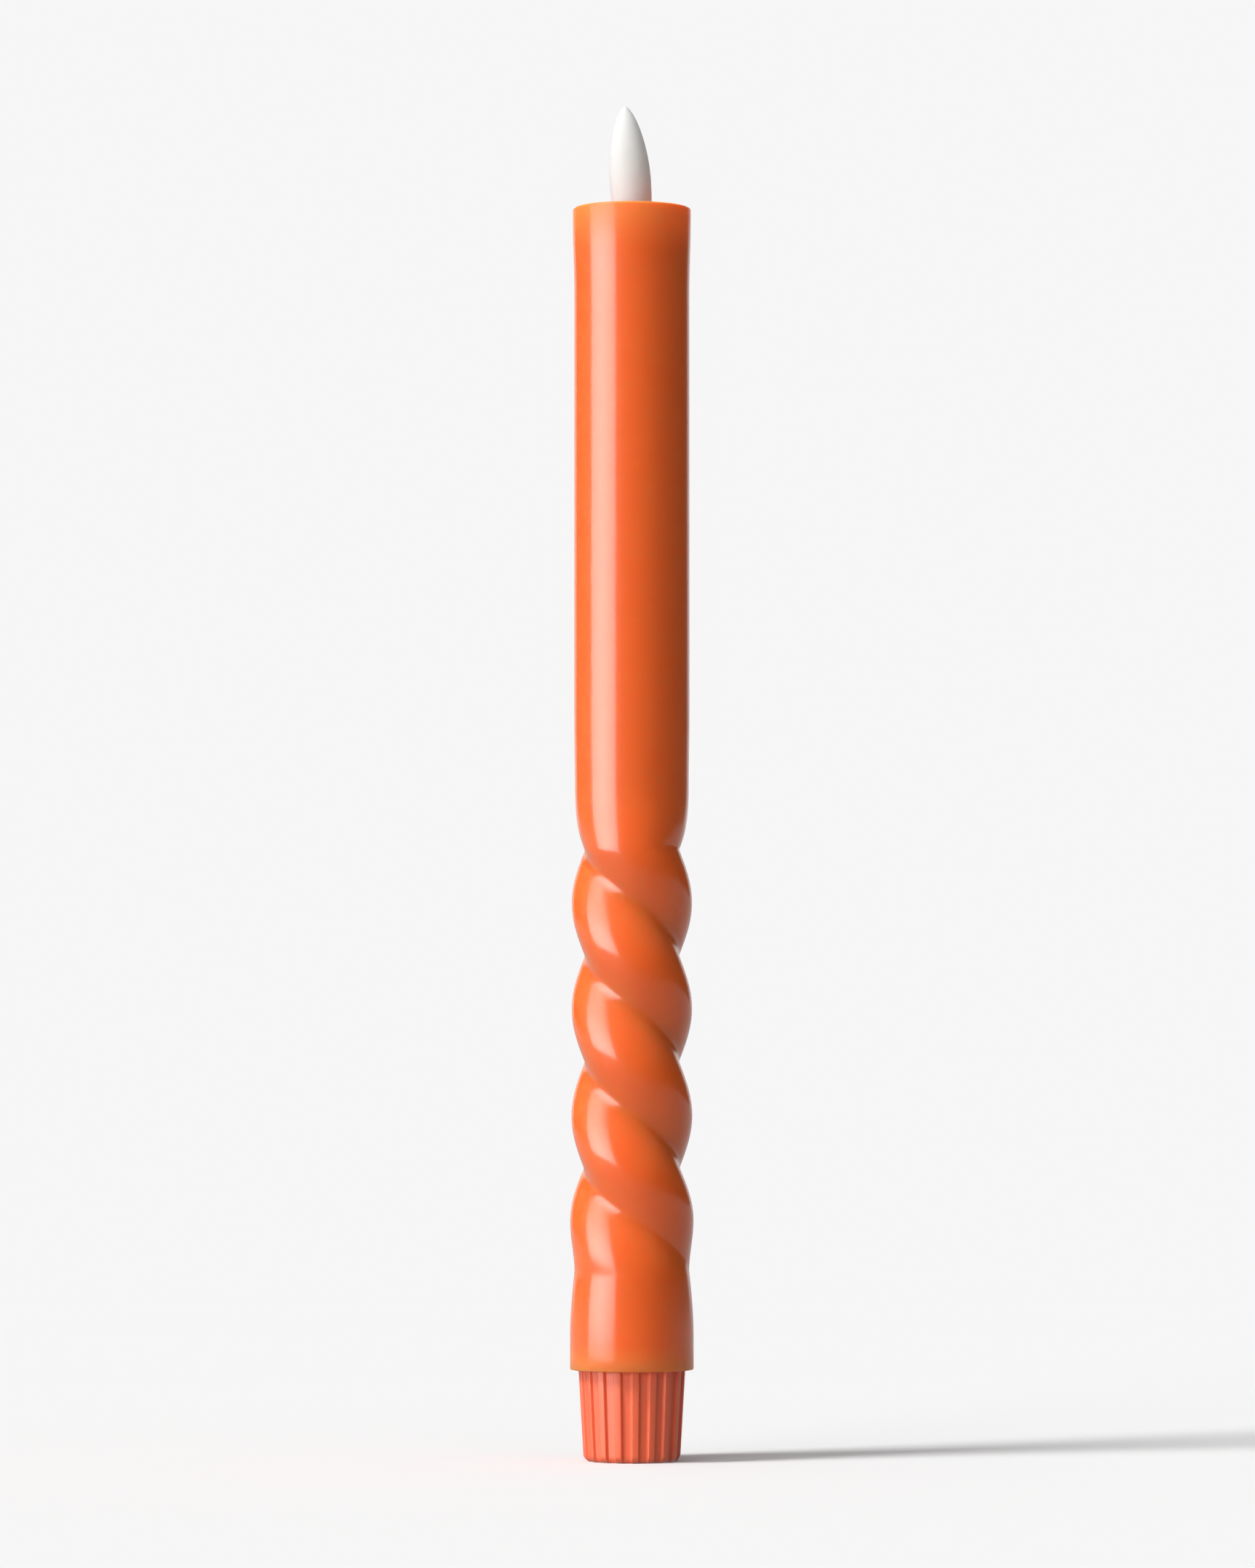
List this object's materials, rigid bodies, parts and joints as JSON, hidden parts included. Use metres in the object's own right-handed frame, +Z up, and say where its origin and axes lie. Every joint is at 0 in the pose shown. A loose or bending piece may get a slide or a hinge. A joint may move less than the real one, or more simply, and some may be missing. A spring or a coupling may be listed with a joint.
{
  "type": "led taper candle",
  "caption": "Wax LED taper candle with a two-strand twist at its foot, a moulded flame, and a ribbed screw cap that holds the slide switch.",
  "frame": {"origin": "middle of the foot, on the surface that the candle stands on", "axes": "+Z up along the candle, -Y towards the front that the picture shows, +X to the right of that front"},
  "size_m": [0.0228, 0.0228, 0.25],
  "materials": {
    "orange_wax": "smooth cast paraffin wax, orange, slightly translucent",
    "coral_plastic": "moulded coral plastic",
    "white_plastic": "moulded white plastic",
    "flame_plastic": "moulded translucent white plastic",
    "nickel": "nickel-plated sheet and wire",
    "steel": "zinc-plated steel",
    "cell_jacket": "plain printed cell jacket over steel",
    "board": "glass-fibre board with green solder mask",
    "black_plastic": "moulded black plastic",
    "red_pvc": "extruded red insulation",
    "black_pvc": "extruded black insulation",
    "clear_epoxy": "cast clear epoxy"
  },
  "bodies": {
    "candle": {"wax_sleeve": "orange_wax", "core_tube": "white_plastic", "bulkhead": "white_plastic", "top_contact": "nickel", "negative_strip": "nickel", "timer_board": "board", "timer_chip": "black_plastic", "timer_crystal": "nickel", "board_capacitor": "cell_jacket", "board_resistor_lower": "black_plastic", "board_resistor_upper": "black_plastic", "strip_lead": "black_pvc", "led_lead_red": "red_pvc", "led_lead_black": "black_pvc", "led": "clear_epoxy", "led_leg_anode": "nickel", "led_leg_cathode": "nickel", "flame_holder": "white_plastic", "flame": "flame_plastic"},
    "cells": {"cell_lower": "cell_jacket", "cell_upper": "cell_jacket"},
    "cap": {"base_cap": "coral_plastic", "contact_spring": "nickel", "contact_ring": "nickel", "switch_board": "board", "board_screw_left": "steel", "board_screw_right": "steel", "switch_body": "steel"},
    "switch": {"switch_knob": "black_plastic"}
  },
  "joints": [
    {"name": "unscrew_drop", "type": "slide", "parent": "candle", "child": "cells", "axis": [0, 0, -1], "range_m": [0, 0.009]},
    {"name": "cap_turn", "type": "hinge", "parent": "cells", "child": "cap", "pos_m": [0, 0, 0.0101], "axis": [0, 0, -1], "range_deg": [0, 1080]},
    {"name": "switch_slide", "type": "slide", "parent": "cap", "child": "switch", "axis": [1, 0, 0], "range_m": [-0.002, 0.002]}
  ],
  "couplings": [
    {"joint": "cap_turn", "follows": "unscrew_drop", "rad_per_m": 2094.4}
  ]
}
